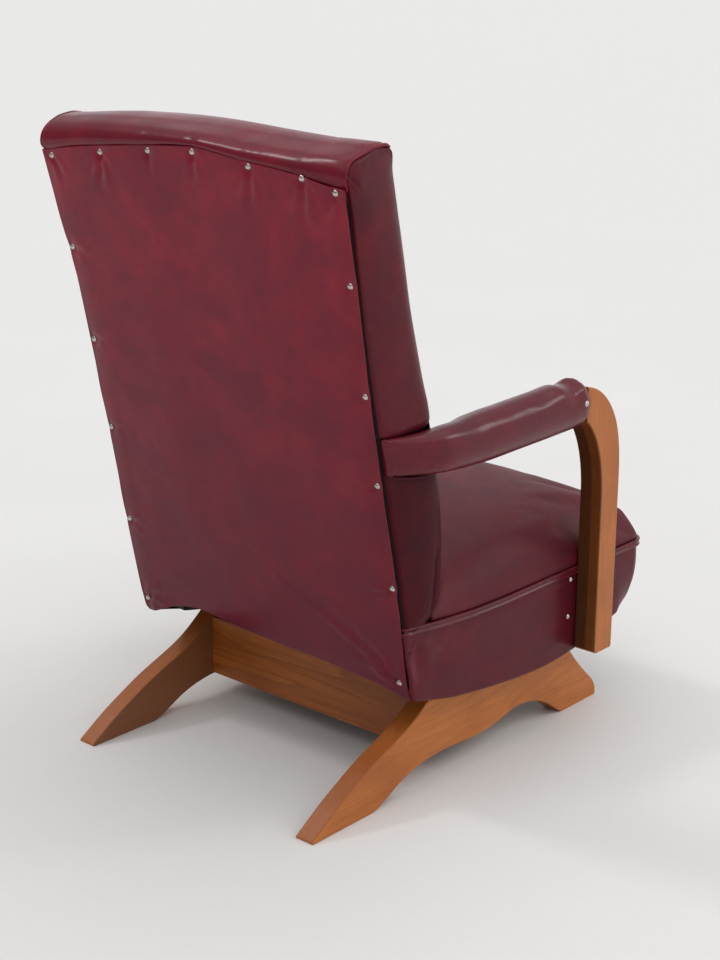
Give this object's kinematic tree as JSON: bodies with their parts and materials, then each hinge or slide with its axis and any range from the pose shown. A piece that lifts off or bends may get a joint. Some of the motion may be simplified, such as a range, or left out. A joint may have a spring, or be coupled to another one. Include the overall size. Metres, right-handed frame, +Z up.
{
  "type": "platform rocker",
  "caption": "Upholstered platform rocker with a high leaning back, a tight seat and padded bent-wood arms, rocking on a fixed sawn-wood base with coil centring springs.",
  "frame": {"origin": "on the floor, below the middle of the chair's overall width and depth at rest", "axes": "+Z up, +X towards the sitter's left, the sitter faces -Y"},
  "size_m": [0.6474, 0.74, 0.9305],
  "materials": {
    "finished_wood": "satin",
    "frame_wood": "matte",
    "vinyl": "gloss",
    "cotton_padding": "matte",
    "burlap": "matte",
    "dust_cloth": "matte",
    "spring_steel": "satin",
    "bracket_steel": "satin",
    "screw_steel": "satin",
    "nail_nickel": "polished"
  },
  "bodies": {
    "base": {"base_rail_left": "finished_wood", "base_rail_right": "finished_wood", "base_rear_cross_rail": "finished_wood", "base_front_cross_rail": "finished_wood", "base_dowels": "frame_wood", "base_corner_blocks": "frame_wood", "base_block_screws": "screw_steel", "spring_bracket_lower_left": "bracket_steel", "spring_bracket_lower_right": "bracket_steel", "spring_bracket_screws_lower": "screw_steel", "rocker_coil_springs": "spring_steel"},
    "seat": {"arm_left": "finished_wood", "arm_right": "finished_wood", "runner_left": "frame_wood", "runner_right": "frame_wood", "seat_side_rail_left": "frame_wood", "seat_side_rail_right": "frame_wood", "seat_front_rail": "frame_wood", "seat_rear_rail": "frame_wood", "seat_corner_blocks": "frame_wood", "frame_dowels": "frame_wood", "back_post_left": "frame_wood", "back_post_right": "frame_wood", "back_top_rail": "frame_wood", "back_lower_rail": "frame_wood", "seat_cover": "vinyl", "seat_welt": "vinyl", "seat_front_border": "vinyl", "side_skirt_left": "vinyl", "side_skirt_right": "vinyl", "back_cover": "vinyl", "back_side_upper_left": "vinyl", "back_side_upper_right": "vinyl", "back_side_lower_left": "vinyl", "back_side_lower_right": "vinyl", "outside_back": "vinyl", "arm_cover_left": "vinyl", "arm_cover_right": "vinyl", "seat_padding": "cotton_padding", "back_padding": "cotton_padding", "arm_padding_left": "cotton_padding", "arm_padding_right": "cotton_padding", "seat_burlap": "burlap", "back_burlap": "burlap", "dust_cover": "dust_cloth", "seat_zigzag_springs": "spring_steel", "back_zigzag_springs": "spring_steel", "spring_bracket_upper_left": "bracket_steel", "spring_bracket_upper_right": "bracket_steel", "seat_spring_clips": "bracket_steel", "back_spring_clips": "bracket_steel", "runner_screws": "screw_steel", "back_post_screws": "screw_steel", "arm_screws": "screw_steel", "spring_bracket_screws_upper": "screw_steel", "back_panel_nails": "nail_nickel", "side_nails": "nail_nickel", "arm_nails": "nail_nickel"}
  },
  "joints": [
    {"name": "rock", "type": "hinge", "parent": "base", "child": "seat", "pos_m": [0, -0.003, 0.1854], "axis": [-1, 0, 0], "range_deg": [-8, 12], "stiffness_Nm_per_rad": 260, "springref_deg": -0.87, "deforming": ["rocker_coil_springs"]}
  ]
}
